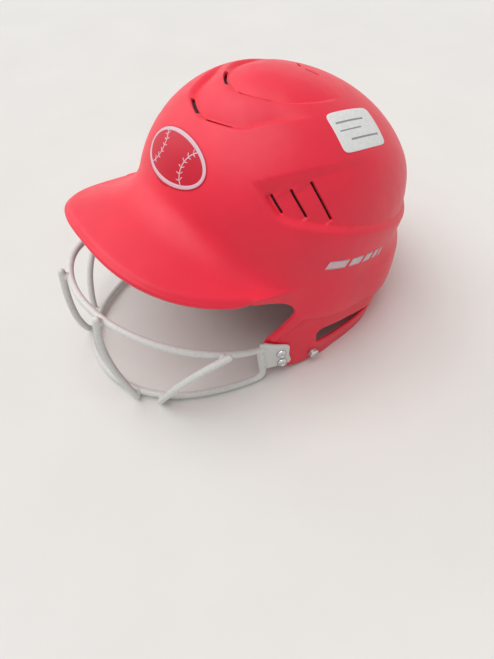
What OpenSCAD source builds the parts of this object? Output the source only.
// Softball batting helmet with a wire face guard, standing on its rim and on the guard as if set down on a floor.
// The shell is worked out upright, round the centre of its dome, and then leaned back by the resting tilt.

/* [Shell] */
// Outer width of the dome at the temples
shell_w = 216; // [206:1:226]
// Dome centre to the forehead
front_reach = 103; // [98:1:108]
// Dome centre to the back of the head
back_reach = 135; // [128:1:142]
// Dome centre to the crown
crown_h = 98.5; // [94:0.5:104]
// Thickness of the moulded shell
wall = 3; // [2.4:0.1:3.6]
// How much the plan narrows towards the forehead
egg_taper = 0.067; // [0.04:0.001:0.09]
// Depth over which the skirt would close in, so a larger value is a steeper skirt
skirt_fall = 500; // [400:10:700]
// How far the belt under the dome flares out above the ledge
belt_flare = 2.5; // [1.5:0.1:3]
// How much further the skirt swells out behind the ears
rear_swell = 5; // [3:0.5:6]
// Step in from the belt to the ear flaps
ledge_step = 3.5; // [2.5:0.1:4]
// Ledge below the dome centre
ledge_drop = 52; // [49:0.5:55]

/* [Bill] */
// Bill beyond the forehead
bill_len = 60; // [54:1:66]
// Width over the sides of the bill
bill_w = 208; // [202:1:214]
// Squareness of the bill's outline
bill_square = 2.6; // [2.3:0.1:3]
// Bill's root above the dome centre, at the middle
bill_root_up = 9; // [6:0.5:12]
// Bill's tip below the dome centre, at the middle
bill_tip_drop = 10; // [7:0.5:13]
// Bill's edge below the dome centre, at the sides
bill_side_drop = 22.5; // [20:0.5:25]

/* [Face opening and ear flaps] */
// Rear corner of the face opening, ahead of the dome centre
corner_ahead = 36.5; // [34:0.5:40]
// Rear corner of the face opening, below the dome centre
corner_drop = 33; // [30:0.5:36]
// Front nose of the ear flap, ahead of the dome centre
nose_ahead = 49; // [46:0.5:52]
// Front nose of the ear flap, below the dome centre
nose_drop = 84; // [80:0.5:88]
// Front of the flap's bottom edge above the floor
flap_lift = 6; // [4:0.5:7]
// Front end of the ear hole, ahead of the dome centre
ear_ahead = 7; // [4:0.5:10]
// Length of the ear hole
ear_len = 75; // [70:1:80]
// Height of the ear hole at its front
ear_h = 20; // [17:0.5:22]
// Top edge of the ear hole below the ledge
ear_below_ledge = 15; // [13:0.5:17]

/* [Air vents] */
// Width of the vent slots
vent_w = 3.2; // [2.4:0.1:4]
// Length of the shortest side vent; each next one is longer
side_vent_len = 15; // [12:0.5:18]
// How much longer each next side vent is
side_vent_step = 7.5; // [6:0.5:9]
// Distance between side vents
side_vent_pitch = 19; // [17:0.5:21]
// Length of the crown vents
crown_vent_len = 20; // [16:0.5:24]

/* [Pads] */
// Thickness of the foam pads at their middle
pad_t = 13; // [10:0.5:16]
// Thickness of the foam pads at their edge
pad_edge_t = 7; // [5:0.5:9]
// Thickness of the two ear pads
ear_pad_t = 14; // [11:0.5:17]
// Glue gap between a pad and the shell
pad_gap = 0.3; // [0.2:0.05:0.4]

/* [Face guard] */
// Thickness of the coated guard wire
wire_d = 5.8; // [5.2:0.1:6.4]
// Upper wire ahead of the dome centre, at the middle
upper_wire_ahead = 162; // [156:1:168]
// Upper wire below the dome centre, at the middle
upper_wire_drop = 62.5; // [59:0.5:66]
// Lower wire ahead of the dome centre, at the middle
lower_wire_ahead = 143; // [138:1:148]
// Lower wire's centre above the floor, at the middle
lower_wire_up = 6.4; // [6:0.1:8]
// How far the cross wires run past the two main wires
wire_overrun = 4; // [3:0.5:5]
// Centre wires from the middle, at their top
centre_wire_out = 28.5; // [25:0.5:32]
// Centre wires from the middle, at their bottom
centre_wire_spread = 42; // [39:0.5:45]

/* [Bracket plates and screws] */
// Thickness of the bracket plate
plate_t = 2.6; // [2.2:0.1:3]
// Length of the bracket plate behind its barrel
plate_len = 25; // [23:0.5:27]
// Height of the bracket plate at its barrel
plate_front_h = 33.5; // [32:0.5:35]
// Height of the bracket plate at its rear end
plate_rear_h = 24; // [23:0.5:26]
// Bottom edge of the bracket plate below the middle of its two screws
plate_drop = 10; // [9.5:0.25:11]
// Thickness of the barrel along the plate's front edge
barrel_d = 6.4; // [6:0.1:7]
// Distance between the two screws
screw_pitch = 11.5; // [11:0.25:13]
// Screws to the rear end of the plate
screw_inset = 8; // [7:0.25:9]
// Thickness of the screw shank
screw_d = 4.8; // [4:0.1:5]
// Width of the screw head
screw_head_d = 9; // [8:0.25:10]
// Height of the screw head
screw_head_h = 2.8; // [2.2:0.1:3.2]
// Play round a screw
screw_play = 0.2; // [0.1:0.05:0.3]
// Screws ahead of the dome centre
screws_ahead = 32; // [30:0.5:34]
// Middle of the two screws below the dome centre
screws_drop = 95; // [93:0.5:97]

/* [Snap studs] */
// Width of the stud's cap
stud_cap_d = 9.5; // [8.5:0.25:10.5]
// Width of the stud's post
stud_post_d = 5.4; // [4.8:0.1:6]
// Height of the stud's post between the shell and the cap
stud_post_h = 2.4; // [2:0.1:3]
// Studs ahead of the dome centre
stud_ahead = 0; // [-3:0.5:3]
// Studs below the dome centre
stud_drop = 98.5; // [97:0.5:100]

/* [Decals and sticker] */
// Length of the oval front decal
emblem_len = 76; // [70:1:80]
// Height of the oval front decal
emblem_h = 39; // [34:1:44]
// Middle of the front decal above the dome centre
emblem_up = 42; // [40:0.5:44]
// Thickness of the decals and the sticker
decal_t = 0.3; // [0.25:0.05:0.4]
// Length of the side decals
side_decal_len = 66; // [60:1:70]
// Height of the side decals
side_decal_h = 7.5; // [6:0.5:10]
// Length of the price sticker
sticker_len = 52; // [46:1:56]
// Height of the price sticker
sticker_h = 31; // [28:1:34]

/* [Resting pose] */
// How far the helmet leans back on the floor
tilt = 16.4; // [15:0.2:18]
// Dome centre above the floor
centre_up = 105.5; // [103:0.5:108]

/* [Hidden] */

shell_red = "#F4465E";
pad_black = "#1D1D20";
guard_grey = "#C9CBC8";
steel = "#C8C8CA";
decal_red = "#C2213B";
paper_white = "#F4F4F2";

half_w = shell_w / 2;
deg_mm = crown_h * PI / 180;
columns = 72;
seat_gap = 0.25;

// Level q runs from 0 at the crown to 90 at the dome centre's height and on down the skirt
function level_z(q) = q <= 90 ? crown_h * cos(q) : -(q - 90) * deg_mm;
function z_level(z) = z >= 0 ? acos(z / crown_h) : 90 - z / deg_mm;
function girth(q) = q <= 90 ? sin(q) : sqrt(1 - pow(level_z(q) / skirt_fall, 2));
function reach(side) = side < 0 ? front_reach : back_reach;
function ease(t) = let(c = min(1, max(0, t))) c * c * (3 - 2 * c);

// Outward bulge of the belt above the ledge, and the step in below it
ledge_blend = 2;
belt_top = 8;
function belt(z) = z > -ledge_drop
    ? belt_flare * ease((-z - belt_top) / (ledge_drop - belt_top))
    : belt_flare - ledge_step * ease((-z - ledge_drop) / ledge_blend);

function base_point(a, q) = let(
        m = girth(q), sx = m * sin(a), sy = -m * cos(a), b = reach(sy))
    [half_w * sx * (1 + egg_taper * sy), b * sy, level_z(q)];
function unit(v) = v / norm(v);
probe = 0.4;
function base_normal(a, q) = q < 1 ? [0, 0, 1] : unit(cross(
    base_point(a + probe, q) - base_point(a - probe, q),
    base_point(a, min(q + probe, 400)) - base_point(a, q - probe)) * -1);
// Point on the shell's outer face, or that far outside it
function swell_at(a, z) = rear_swell * ease((180 - abs(180 - abs(a)) - 100) / 22) * ease((-z - 2) / 20);
function skin(a, q, off = 0) = base_point(a, q)
    + base_normal(a, q) * (off + (q > 90 ? belt(level_z(q)) + swell_at(a, level_z(q)) : 0));
// Angle round the helmet at which the skin lies that far ahead of the centre, on the left
function angle_at(ahead, z) = acos(ahead / (reach(-ahead) * girth(z_level(z))));
function skin_at(ahead, z, off = 0) = skin(angle_at(ahead, z), z_level(z), off);

// Floor line in the upright frame: height at which the floor lies, that far behind the centre
function floor_z(behind) = (-centre_up + behind * sin(tilt)) / cos(tilt);

// Closed solid over a grid of points: outer layer, inner layer, and walls round the edge
function grid_faces(n, m) = let(w = m + 1, k = (n + 1) * w) concat(
    [for (i = [0:n - 1], j = [0:m - 1]) let(p = i * w + j)
        each [[p, p + 1, p + w + 1], [p, p + w + 1, p + w]]],
    [for (i = [0:n - 1], j = [0:m - 1]) let(p = k + i * w + j)
        each [[p, p + w + 1, p + 1], [p, p + w, p + w + 1]]],
    [for (i = [0:n - 1]) let(p = i * w)
        each [[p, p + w, k + p + w], [p, k + p + w, k + p]]],
    [for (i = [0:n - 1]) let(p = i * w + m)
        each [[p, k + p + w, p + w], [p, k + p, k + p + w]]],
    [for (j = [0:m - 1]) let(p = j)
        each [[p, k + p + 1, p + 1], [p, k + p, k + p + 1]]],
    [for (j = [0:m - 1]) let(p = n * w + j)
        each [[p, p + 1, k + p + 1], [p, k + p + 1, k + p]]]);
module sheet(outer, inner, n, m) {
    polyhedron(points = concat(outer, inner), faces = grid_faces(n, m), convexity = 6);
}

// Leans a piece back and sets it on the floor, with the middle of the whole helmet's box at the origin
module rest_pose() {
    translate([0, box_shift, centre_up]) rotate([-tilt, 0, 0]) children();
}
module right_side() {
    mirror([1, 0, 0]) children();
}

// Dome and skirt as one closed wall, cut later by the openings and the floor
dome_rows = [for (q = [5:5:90]) q];
skirt_levels = [-8, -18, -28, -40, -ledge_drop, -ledge_drop - ledge_blend, -66, -80, -95, -112, -130, -150];
rows = concat(dome_rows, [for (z = skirt_levels) z_level(z)]);
module dome_wall() {
    n = len(rows);
    layer = n * columns + 1;
    rings = [for (q = rows, j = [0:columns - 1]) skin(360 * j / columns, q)];
    inner_rings = [for (q = rows, j = [0:columns - 1]) skin(360 * j / columns, q, -wall)];
    points = concat([skin(0, 0)], rings, [skin(0, 0, -wall)], inner_rings);
    function at(i, j) = 1 + i * columns + (j % columns);
    faces = concat(
        [for (j = [0:columns - 1]) [0, at(0, j + 1), at(0, j)]],
        [for (j = [0:columns - 1]) [layer, layer + at(0, j), layer + at(0, j + 1)]],
        [for (i = [0:n - 2], j = [0:columns - 1]) let(p = at(i, j), r = at(i, j + 1),
            s = at(i + 1, j + 1), t = at(i + 1, j)) each [[p, r, s], [p, s, t]]],
        [for (i = [0:n - 2], j = [0:columns - 1]) let(p = layer + at(i, j), r = layer + at(i, j + 1),
            s = layer + at(i + 1, j + 1), t = layer + at(i + 1, j)) each [[p, s, r], [p, t, s]]],
        [for (j = [0:columns - 1]) let(p = at(n - 1, j), r = at(n - 1, j + 1))
            each [[p, r, layer + r], [p, layer + r, layer + p]]]);
    polyhedron(points, faces, convexity = 8);
}

// Bill: its edge is a squarish oval, and its top runs out of the dome through a fillet
bill_sweep = 86;
bill_root_share = 0.9;
bill_steps = 34;
fillet_h = 16;
function lerp(p, r, t) = p + (r - p) * t;
function bend(p, k, r, t) = lerp(lerp(p, k, t), lerp(k, r, t), t);
function bill_edge_z(a) = -bill_tip_drop - (bill_side_drop - bill_tip_drop) * ease(abs(a) / 66);
function bill_edge(a) = [
    sign(a) * bill_w / 2 * pow(abs(sin(a)), 2 / bill_square),
    -(front_reach + bill_len) * pow(cos(a), 2 / bill_square), bill_edge_z(a)];
function bill_root_z(a) = bill_edge_z(a) + 1
    + (bill_root_up + bill_tip_drop - 1) * (1 - ease(abs(a) / bill_sweep));
function bill_section(a) = let(
        r = a * bill_root_share, z = bill_root_z(a), edge = bill_edge(a),
        foot = skin(r, z_level(z), 0.5), top = skin(r, z_level(z + fillet_h), -0.8),
        out = lerp(foot, edge, 0.4), drop = [0, 0, -wall],
        under = skin(r, z_level(z - 4), 0.8 - wall), inside = skin(r, z_level(z + 8), 0.8 - wall))
    concat([for (t = [0, 0.25, 0.5, 0.75, 1]) bend(top, foot, out, t)],
           [for (t = [0.35, 0.7, 0.96]) lerp(out, edge, t)], [edge + drop * 0.3, edge + drop * 0.8],
           [for (t = [0.04, 0.5]) lerp(edge, foot, t) + drop], [under, inside]);
// Closed skin over equal loops of points; each loop runs clockwise seen from its start
function loft_faces(n, k) = concat(
    [for (i = [0:n - 2], j = [0:k - 1]) let(p = i * k + j, r = i * k + (j + 1) % k)
        each [[p, r, r + k], [p, r + k, p + k]]],
    [for (j = [1:k - 2]) [0, j + 1, j]],
    [for (j = [1:k - 2]) let(b = (n - 1) * k) [b, b + j, b + j + 1]]);
module loft(loops) {
    k = len(loops[0]);
    polyhedron([for (l = loops) each l], loft_faces(len(loops), k), convexity = 6);
}
module bill() {
    loft([for (i = [0:bill_steps]) bill_section(bill_sweep * (1 - 2 * i / bill_steps))]);
}

// Side view of all that is open under the bill and in front of the ear flaps
function arc(y, z, r, from, to, n) = [for (i = [0:n]) let(t = from + (to - from) * i / n)
    [y + r * cos(t), z + r * sin(t)]];
corner_r = 9;
nose_r = 22;
lift_run = 40;
front_clear = 60;
opening_outline = concat(
    [[-front_reach - front_clear, bill_root_z(0) - wall]],
    [for (a = [0:8:56]) [skin(a * bill_root_share, z_level(bill_root_z(a)))[1], bill_root_z(a) - wall - 0.8]],
    arc(-corner_ahead - corner_r, -corner_drop, corner_r, 90, -25, 8),
    arc(nose_r - nose_ahead, -nose_drop, nose_r, 165, 245, 8),
    [[-22, floor_z(-22) + flap_lift], [-22 + lift_run / 2, floor_z(lift_run / 2 - 22) + flap_lift * 0.7],
     [-22 + lift_run, floor_z(lift_run - 22)], [-22 + lift_run, -2 * crown_h],
     [-front_reach - front_clear, -2 * crown_h]]);
// Extrudes a side view across the helmet
module across(from, to) {
    translate([from, 0, 0]) rotate([90, 0, 90]) linear_extrude(to - from) children();
}
ear_top = ledge_drop + ear_below_ledge;
ear_outline = concat(
    arc(-ear_ahead + 4.5, -ear_top - 5, 4.5, 200, 100, 5),
    arc(ear_len - ear_ahead - 2, -ear_top - 3, 1.8, 80, -80, 5),
    [[ear_len * 0.52, -ear_top - ear_h * 0.72]],
    arc(-ear_ahead + 7, -ear_top - ear_h + 3, 3, 290, 200, 4));

// Straight round cut or rod along the skin's normal
module on_normal(p, n) {
    translate(p) rotate([0, acos(n[2]), atan2(n[1], n[0])]) children();
}
module slot(p, r, n) {
    hull() {
        on_normal(p, n) cylinder(d = vent_w, h = 4 * wall, center = true, $fn = 12);
        on_normal(r, n) cylinder(d = vent_w, h = 4 * wall, center = true, $fn = 12);
    }
}
side_vents = 3;
vent_lean = [0.39, 0.7];
last_vent_ahead = 21;
vent_foot_up = 34;
module side_vent_cuts() {
    for (i = [0:side_vents - 1]) {
        ahead = last_vent_ahead + (side_vents - 1 - i) * side_vent_pitch * 0.92;
        run = side_vent_len + i * side_vent_step;
        slot(skin_at(ahead, vent_foot_up), skin_at(ahead + run * vent_lean[0], vent_foot_up + run * vent_lean[1]),
             base_normal(angle_at(ahead, vent_foot_up), z_level(vent_foot_up + run / 3)));
    }
}
// Crown vents: start angle and level, then the way each one runs
crown_vents = [[5, 45, [0.93, 0.36, 0.1]], [8, 28.5, [0.85, 0.52, 0.05]]];
rear_vent = [158, 6.5, [0.8, 0.6, -0.1]];
module crown_vent_cuts() {
    for (v = crown_vents) slot(skin(v[0], v[1]), skin(v[0], v[1]) + crown_vent_len * v[2], base_normal(v[0] + 6, v[1]));
    slot(skin(rear_vent[0], rear_vent[1]), skin(rear_vent[0], rear_vent[1]) + crown_vent_len / 2 * rear_vent[2],
         base_normal(rear_vent[0], rear_vent[1]));
}

// Frame of a bracket plate: local x runs back, y up along the two screws, z outwards
screw_up = [0, -0.34, 0.94];
plate_q = z_level(-screws_drop);
plate_a = angle_at(screws_ahead, -screws_drop);
plate_o = skin(plate_a, plate_q);
plate_n = base_normal(plate_a, plate_q);
plate_u = unit(screw_up - plate_n * (plate_n * screw_up));
plate_f = cross(plate_u, plate_n);
function on_plate(x, y, z) = plate_o + plate_f * x + plate_u * y + plate_n * z;
module plate_frame() {
    multmatrix([[plate_f[0], plate_u[0], plate_n[0], plate_o[0]], [plate_f[1], plate_u[1], plate_n[1], plate_o[1]],
                [plate_f[2], plate_u[2], plate_n[2], plate_o[2]]]) children();
}
module at_screws() {
    for (s = [-1, 1]) translate([0, s * screw_pitch / 2, 0]) children();
}
// Frame of a snap stud: z outwards
stud_a = angle_at(stud_ahead, -stud_drop);
stud_q = z_level(-stud_drop);
module stud_frame() {
    on_normal(skin(stud_a, stud_q), base_normal(stud_a, stud_q)) children();
}
rivet_d = 4;
nut_reach = 5;
module fastener_holes() {
    plate_frame() at_screws() translate([0, 0, -3 * wall])
        cylinder(d = screw_d + 2 * screw_play, h = 5 * wall, $fn = 24);
    stud_frame() translate([0, 0, -3 * wall]) cylinder(d = rivet_d + 2 * screw_play, h = 5 * wall, $fn = 24);
}

module outer_shell() {
    color(shell_red) rest_pose() difference() {
        union() {
            difference() {
                dome_wall();
                across(-shell_w, shell_w) polygon(opening_outline);
            }
            bill();
        }
        across(half_w / 2, shell_w) polygon(ear_outline);
        across(-shell_w, -half_w / 2) polygon(ear_outline);
        side_vent_cuts();
        right_side() side_vent_cuts();
        crown_vent_cuts();
        right_side() crown_vent_cuts();
        fastener_holes();
        right_side() fastener_holes();
        rotate([tilt, 0, 0]) translate([0, 0, -centre_up - shell_w]) cube(2 * shell_w, center = true);
    }
}

pad_power = 8;
function crowned(u, v) = sqrt(max(0, (1 - pow(abs(2 * u - 1), pad_power)) * (1 - pow(abs(2 * v - 1), pad_power))));
// Foam pad over a window of the shell's inner face, thickest in its middle; its start angle may shift by row
module pad(a0, a1, q0, q1, thick, n, m, a0_foot = undef) {
    function from_a(i) = is_undef(a0_foot) ? a0 : a0 + (a0_foot - a0) * i / n;
    function place(i, j, off) = skin(from_a(i) + (a1 - from_a(i)) * j / m, q0 + (q1 - q0) * i / n, off);
    back = [for (i = [0:n], j = [0:m]) place(i, j, -wall - pad_gap)];
    face = [for (i = [0:n], j = [0:m]) place(i, j,
        -wall - pad_gap - pad_edge_t - (thick - pad_edge_t) * crowned(i / n, j / m))];
    color(pad_black) sheet(back, face, n, m);
}
crown_pad_q = 20;
crown_sides = 24;
module crown_pad() {
    levels = [crown_pad_q / 3, crown_pad_q * 2 / 3, crown_pad_q];
    function ring(q, off) = [for (j = [0:crown_sides - 1]) skin(360 * j / crown_sides, q, off)];
    function depth(q) = -wall - pad_gap - pad_edge_t
        - (pad_t - pad_edge_t) * sqrt(1 - pow(q / crown_pad_q, pad_power));
    loops = concat([ring(0.3, -wall - pad_gap)], [for (q = levels) ring(q, -wall - pad_gap)],
                   [for (i = [2, 1, 0]) ring(levels[i], depth(levels[i]))], [ring(0.3, depth(0))]);
    color(pad_black) rest_pose() loft(loops);
}
pad_split = 3;
front_pad_a = 38;
side_pad_a = [front_pad_a + pad_split, 116];
pad_top_q = crown_pad_q + 5;
front_pad_foot = 78;
side_pad_foot = 108;
rear_pad_foot = 126;
module forehead_pad() {
    rest_pose() pad(-front_pad_a, front_pad_a, pad_top_q, front_pad_foot, pad_t, 8, 14);
}
module left_side_pad() {
    rest_pose() pad(side_pad_a[0], side_pad_a[1], pad_top_q, side_pad_foot, pad_t, 10, 12);
}
module right_side_pad() {
    rest_pose() right_side() pad(side_pad_a[0], side_pad_a[1], pad_top_q, side_pad_foot, pad_t, 10, 12);
}
module rear_pad() {
    rest_pose() pad(side_pad_a[1] + pad_split, 360 - side_pad_a[1] - pad_split, pad_top_q, rear_pad_foot, pad_t, 12, 20);
}
ear_pad_span = [10, 33, 44];
ear_pad_top = ledge_drop + ledge_blend + 6;
ear_pad_foot = 103;
nut_d = 10;
nut_flange = 1.3;
nut_h = 4;
nut_seat = 0.35;
module ear_pad() {
    difference() {
        pad(angle_at(ear_pad_span[1], -nose_drop), angle_at(ear_pad_span[0], -nose_drop),
            z_level(-ear_pad_top), z_level(-ear_pad_foot), ear_pad_t, 7, 7, angle_at(ear_pad_span[2], -nose_drop));
        plate_frame() at_screws() translate([0, 0, -wall - nut_h - 2]) cylinder(d = nut_d + 1, h = nut_h + 4, $fn = 32);
    }
}
module left_ear_pad() {
    color(pad_black) rest_pose() ear_pad();
}
module right_ear_pad() {
    color(pad_black) rest_pose() right_side() ear_pad();
}

// Round wire along a list of points, with flat or rounded ends
function carry(n, t) = unit(n - t * (n * t));
function tangents(p) = [for (i = [0:len(p) - 1]) unit(p[min(i + 1, len(p) - 1)] - p[max(i - 1, 0)])];
function sides_of(t, n0) = [for (i = 0, n = carry(n0, t[0]); i < len(t); i = i + 1, n = i < len(t) ? carry(n, t[i]) : n) n];
module wire(p, d, n0, sides = 12, scale_at = []) {
    t = tangents(p);
    n = sides_of(t, n0);
    loft([for (i = [0:len(p) - 1]) let(b = cross(t[i], n[i]), k = len(scale_at) > 0 ? scale_at[i] : 1)
        [for (j = [0:sides - 1]) let(w = -360 * j / sides)
            p[i] + (n[i] * cos(w) + b * sin(w)) * d / 2 * k]]);
}
function cubic(p, t) = lerp(bend(p[0], p[1], p[2], t), bend(p[1], p[2], p[3], t), t);
function mirrored(p) = [for (v = p) [-v[0], v[1], v[2]]];
function turned(p) = [for (i = [len(p) - 1:-1:0]) p[i]];
function both_halves(p) = concat(turned([for (i = [1:len(p) - 1]) [-p[i][0], p[i][1], p[i][2]]]), p);

// Barrel of a bracket plate, to which both main wires run
barrel_x = screw_inset - plate_len;
plate_foot = -plate_drop;
plate_mid = seat_gap + plate_t / 2;
barrel_low = plate_foot + barrel_d / 2;
barrel_high = plate_foot + plate_front_h - barrel_d / 2;
wire_steps = 26;
upper_mid = [0, -upper_wire_ahead, -upper_wire_drop];
upper_side = [99, -upper_wire_ahead + 48, -upper_wire_drop - 2.5];
upper_goal = on_plate(barrel_x, barrel_high - 3.3, plate_mid);
upper_end = upper_goal + unit(upper_side - upper_goal) * (barrel_d / 2 + wire_d * 0.35 + seat_gap);
upper_bow = [upper_mid, upper_mid + [56, 0, 0], upper_side, upper_end];
upper_half = [for (i = [0:wire_steps]) cubic(upper_bow, i / wire_steps)];
lower_mid = [0, -lower_wire_ahead, floor_z(-lower_wire_ahead) + lower_wire_up / cos(tilt)];
lower_side = [80, -lower_wire_ahead + 40, floor_z(-lower_wire_ahead + 40) + (lower_wire_up - 1) / cos(tilt)];
lower_end = on_plate(barrel_x, barrel_low - barrel_d / 2 - seat_gap, plate_mid);
knee_r = 9;
lower_knee = lower_end - plate_u * knee_r;
lower_turn = lower_knee + unit(lower_side - lower_knee) * knee_r;
lower_bow = [lower_mid, lower_mid + [50, 0, 0], lower_side, lower_turn];
knee_steps = 6;
lower_half = concat([for (i = [0:wire_steps]) cubic(lower_bow, i / wire_steps)],
                    [for (i = [1:knee_steps]) bend(lower_turn, lower_knee, lower_end, i / knee_steps)]);
module guard_upper_wire() {
    color(guard_grey) rest_pose() wire(both_halves(upper_half), wire_d, [0, 0, 1]);
}
module guard_lower_wire() {
    color(guard_grey) rest_pose() wire(both_halves(lower_half), wire_d, [0, 0, 1]);
}

// Cross wires lie on the outside of the two main wires and run a little past them
cross_gap = wire_d + seat_gap;
function share_at(bow, k, x, lo = 0, hi = 1, n = 18) = n == 0 ? (lo + hi) / 2
    : let(m = (lo + hi) / 2) cubic(bow, m)[k] < x ? share_at(bow, k, x, m, hi, n - 1)
    : share_at(bow, k, x, lo, m, n - 1);
function outward(bow, t) = unit(cross(unit(cubic(bow, t + 0.01) - cubic(bow, t - 0.01)), [0, 0, 1]));
function outside(bow, t, away) = cubic(bow, t) + unit(outward(bow, t) + away) * cross_gap;
cross_steps = 14;
tip_scale = [0.55, 0.85];
foot_cut = 1.5;
function cross_path(p, k, r) = let(
        curve = [for (i = [0:cross_steps]) bend(p, k, r, i / cross_steps)],
        head = unit(p - curve[1]), tail = unit(r - curve[cross_steps - 1]), run = wire_overrun + wire_d / 2)
    concat([p + head * run, p + head * (run - 0.6), p + head * (run - 1.6)], curve,
           [r + tail * (run - foot_cut - 1.6), r + tail * (run - foot_cut - 0.6), r + tail * (run - foot_cut)]);
cross_scale = concat([tip_scale[0], tip_scale[1], 1], [for (i = [0:cross_steps]) 1], [1, tip_scale[1], tip_scale[0]]);
centre_top = outside(upper_bow, share_at(upper_bow, 0, centre_wire_out), [0, 0, 0]);
centre_foot = outside(lower_bow, share_at(lower_bow, 0, centre_wire_spread), [0, 0, 0]);
centre_bow = [centre_wire_out - 3.5, -upper_wire_ahead + 2, (centre_top[2] + centre_foot[2]) / 2 - 3];
side_wire_top_y = -92;
side_wire_foot_x = 59;
side_top = outside(upper_bow, share_at(upper_bow, 1, side_wire_top_y), [0, 0, 0]);
side_foot = outside(lower_bow, share_at(lower_bow, 0, side_wire_foot_x), [0, 0, 0]);
side_bow = [88, -upper_wire_ahead + 38, -upper_wire_drop - 27];
module centre_wire() {
    wire(cross_path(centre_top, centre_bow, centre_foot), wire_d, [1, 0, 0], 12, cross_scale);
}
module side_wire() {
    wire(cross_path(side_top, side_bow, side_foot), wire_d, [1, 0, 0], 12, cross_scale);
}
module left_guard_centre_wire() {
    color(guard_grey) rest_pose() centre_wire();
}
module right_guard_centre_wire() {
    color(guard_grey) rest_pose() right_side() centre_wire();
}
module left_guard_side_wire() {
    color(guard_grey) rest_pose() side_wire();
}
module right_guard_side_wire() {
    color(guard_grey) rest_pose() right_side() side_wire();
}

plate_r = 2.5;
plate_outline = concat(
    arc(screw_inset - plate_r, plate_foot + plate_r, plate_r, -90, 0, 4),
    arc(screw_inset - plate_r, plate_foot + plate_rear_h - plate_r, plate_r, 0, 75, 4),
    [[barrel_x, plate_foot + plate_front_h - 1], [barrel_x, plate_foot]]);
module bracket_plate() {
    plate_frame() difference() {
        union() {
            translate([0, 0, seat_gap]) linear_extrude(plate_t) polygon(plate_outline);
            translate([barrel_x, barrel_low - barrel_d / 2, plate_mid]) rotate([-90, 0, 0])
                cylinder(d = barrel_d, h = plate_front_h, $fn = 32);
        }
        at_screws() translate([0, 0, -wall]) cylinder(d = screw_d + 2 * screw_play, h = 4 * wall, $fn = 32);
    }
}
module left_bracket_plate() {
    color(guard_grey) rest_pose() bracket_plate();
}
module right_bracket_plate() {
    color(guard_grey) rest_pose() right_side() bracket_plate();
}

screw_seat = 0.05;
driver_d = 1.1;
module screw() {
    head_z = seat_gap + plate_t + screw_seat;
    difference() {
        union() {
            translate([0, 0, head_z]) rotate_extrude($fn = 48) polygon(concat([[0, 0], [screw_head_d / 2, 0]],
                [for (t = [10:20:90]) [screw_head_d / 2 * pow(cos(t), 0.6), screw_head_h * sin(t)]]));
            translate([0, 0, -wall - nut_seat - nut_h - 0.5])
                cylinder(d = screw_d, h = head_z + wall + nut_seat + nut_h + 0.6, $fn = 32);
        }
        for (w = [0, 90]) rotate([0, 0, w]) translate([-2.6, -driver_d / 2, head_z + screw_head_h * 0.45])
            cube([5.2, driver_d, screw_head_h]);
    }
}
module nut() {
    difference() {
        union() {
            translate([0, 0, -wall - nut_seat - nut_flange]) cylinder(d = nut_d, h = nut_flange, $fn = 48);
            translate([0, 0, -wall - nut_seat - nut_h]) cylinder(d = nut_d - 2, h = nut_h, $fn = 6);
        }
        translate([0, 0, -wall - nut_seat - nut_h - 1]) cylinder(d = screw_d + 0.2, h = nut_h + 2, $fn = 32);
    }
}
module left_guard_screws() {
    color(steel) rest_pose() plate_frame() at_screws() screw();
}
module right_guard_screws() {
    color(steel) rest_pose() right_side() plate_frame() at_screws() screw();
}
module left_guard_nuts() {
    color(steel) rest_pose() plate_frame() at_screws() nut();
}
module right_guard_nuts() {
    color(steel) rest_pose() right_side() plate_frame() at_screws() nut();
}

stud_seat = 0.1;
cap_h = 2.6;
cap_rim_h = 1.6;
backing_d = 10;
backing_t = 1.2;
module snap_stud() {
    stud_frame() union() {
        translate([0, 0, stud_seat]) cylinder(d = stud_post_d, h = stud_post_h + 0.2, $fn = 48);
        translate([0, 0, stud_seat + stud_post_h]) rotate_extrude($fn = 48) polygon(concat(
            [[0, 0], [stud_cap_d / 2 - 0.4, 0], [stud_cap_d / 2, 0.4], [stud_cap_d / 2, cap_rim_h]],
            [for (t = [15:15:90]) [stud_cap_d / 2 * pow(cos(t), 0.7), cap_rim_h + (cap_h - cap_rim_h) * sin(t)]]));
        translate([0, 0, -wall - nut_seat - backing_t]) cylinder(d = rivet_d, h = wall + nut_seat + backing_t + 1, $fn = 32);
    }
}
module stud_backing() {
    stud_frame() difference() {
        translate([0, 0, -wall - nut_seat - backing_t]) cylinder(d = backing_d, h = backing_t, $fn = 48);
        translate([0, 0, -wall - nut_seat - 2 * backing_t]) cylinder(d = rivet_d + 0.2, h = 3 * backing_t, $fn = 32);
    }
}
module left_snap_stud() {
    color(steel) rest_pose() snap_stud();
}
module right_snap_stud() {
    color(steel) rest_pose() right_side() snap_stud();
}
module left_stud_backing() {
    color(steel) rest_pose() stud_backing();
}
module right_stud_backing() {
    color(steel) rest_pose() right_side() stud_backing();
}

// Thin decals that follow the skin: a flat outline round a point is carried straight out onto the dome
decal_gap = 0.15;
function out_to_skin(p, off) = let(
        b = reach(p[1]), r = norm([p[0] / half_w, p[1] / b, p[2] / crown_h]),
        z = p[2] / r, a = atan2(p[0] / half_w, -p[1] / b))
    skin(a, z_level(z), off);
function spot(a, q, s, t, off) = let(
        n = base_normal(a, q), along = unit(cross([0, 0, 1], n)), up = cross(n, along))
    out_to_skin(skin(a, q) + along * s + up * t, off);
module skin_label(a, q, n, m, places) {
    sheet([for (p = places) spot(a, q, p[0], p[1], decal_gap + decal_t)],
        [for (p = places) spot(a, q, p[0], p[1], decal_gap)], n, m);
}
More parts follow.
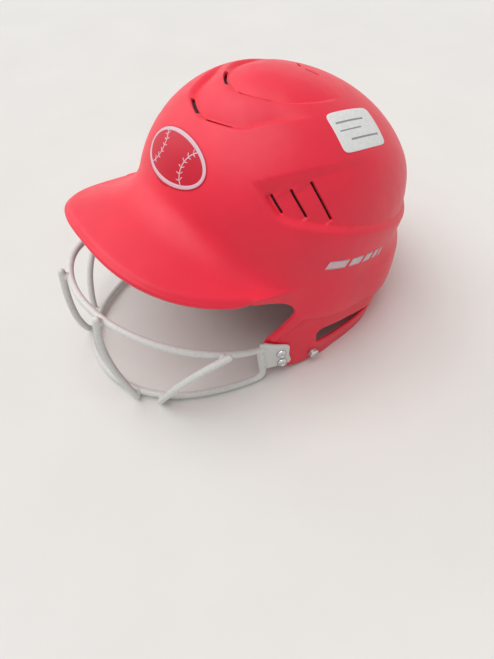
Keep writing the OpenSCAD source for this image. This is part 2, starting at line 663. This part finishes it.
// Square grid drawn into a disc, and a slanted, turned rectangle
function to_disc(u, v) = [u * sqrt(1 - v * v / 2), v * sqrt(1 - u * u / 2)];
function block(length, height, lean, turn, n, m) = [for (i = [0:n], j = [0:m])
    let(t = (0.5 - i / n) * height, s = (j / m - 0.5) * length + t * lean)
    [s * cos(turn) - t * sin(turn), s * sin(turn) + t * cos(turn)]];
emblem_steps = 12;
module front_emblem() {
    n = emblem_steps;
    color(decal_red) rest_pose() skin_label(0, z_level(emblem_up), n, n,
        [for (i = [0:n], j = [0:n]) let(d = to_disc(2 * j / n - 1, 1 - 2 * i / n))
            [d[0] * emblem_len / 2, d[1] * emblem_h / 2]]);
}
side_decal_a = 95.5;
side_decal_q = 92.2;
decal_lean = 0.35;
side_decal_turn = -2;
module side_decal() {
    skin_label(side_decal_a, side_decal_q, 2, 14,
        block(side_decal_len, side_decal_h, decal_lean, side_decal_turn, 2, 14));
}
module left_side_decal() {
    color(guard_grey) rest_pose() side_decal();
}
module right_side_decal() {
    color(guard_grey) rest_pose() right_side() side_decal();
}
sticker_a = 102.3;
sticker_q = 36;
sticker_turn = 0;
module price_sticker() {
    color(paper_white) rest_pose() skin_label(sticker_a, sticker_q, 6, 10,
        block(sticker_len, sticker_h, 0, sticker_turn, 6, 10));
}

// Box of the whole helmet: the back of the dome wall and the front of the guard set where its middle lies
function lean_y(p) = p[1] * cos(tilt) + p[2] * sin(tilt);
back_y = max([for (q = rows) lean_y(skin(180, q))]);
front_y = min([for (p = concat(upper_half, lower_half, [centre_top, centre_foot])) lean_y(p)]) - wire_d / 2;
box_shift = -(back_y + front_y) / 2;

outer_shell();
crown_pad();
forehead_pad();
left_side_pad();
right_side_pad();
rear_pad();
left_ear_pad();
right_ear_pad();
guard_upper_wire();
guard_lower_wire();
left_guard_centre_wire();
right_guard_centre_wire();
left_guard_side_wire();
right_guard_side_wire();
left_bracket_plate();
right_bracket_plate();
left_guard_screws();
right_guard_screws();
left_guard_nuts();
right_guard_nuts();
left_snap_stud();
right_snap_stud();
left_stud_backing();
right_stud_backing();
front_emblem();
left_side_decal();
right_side_decal();
price_sticker();
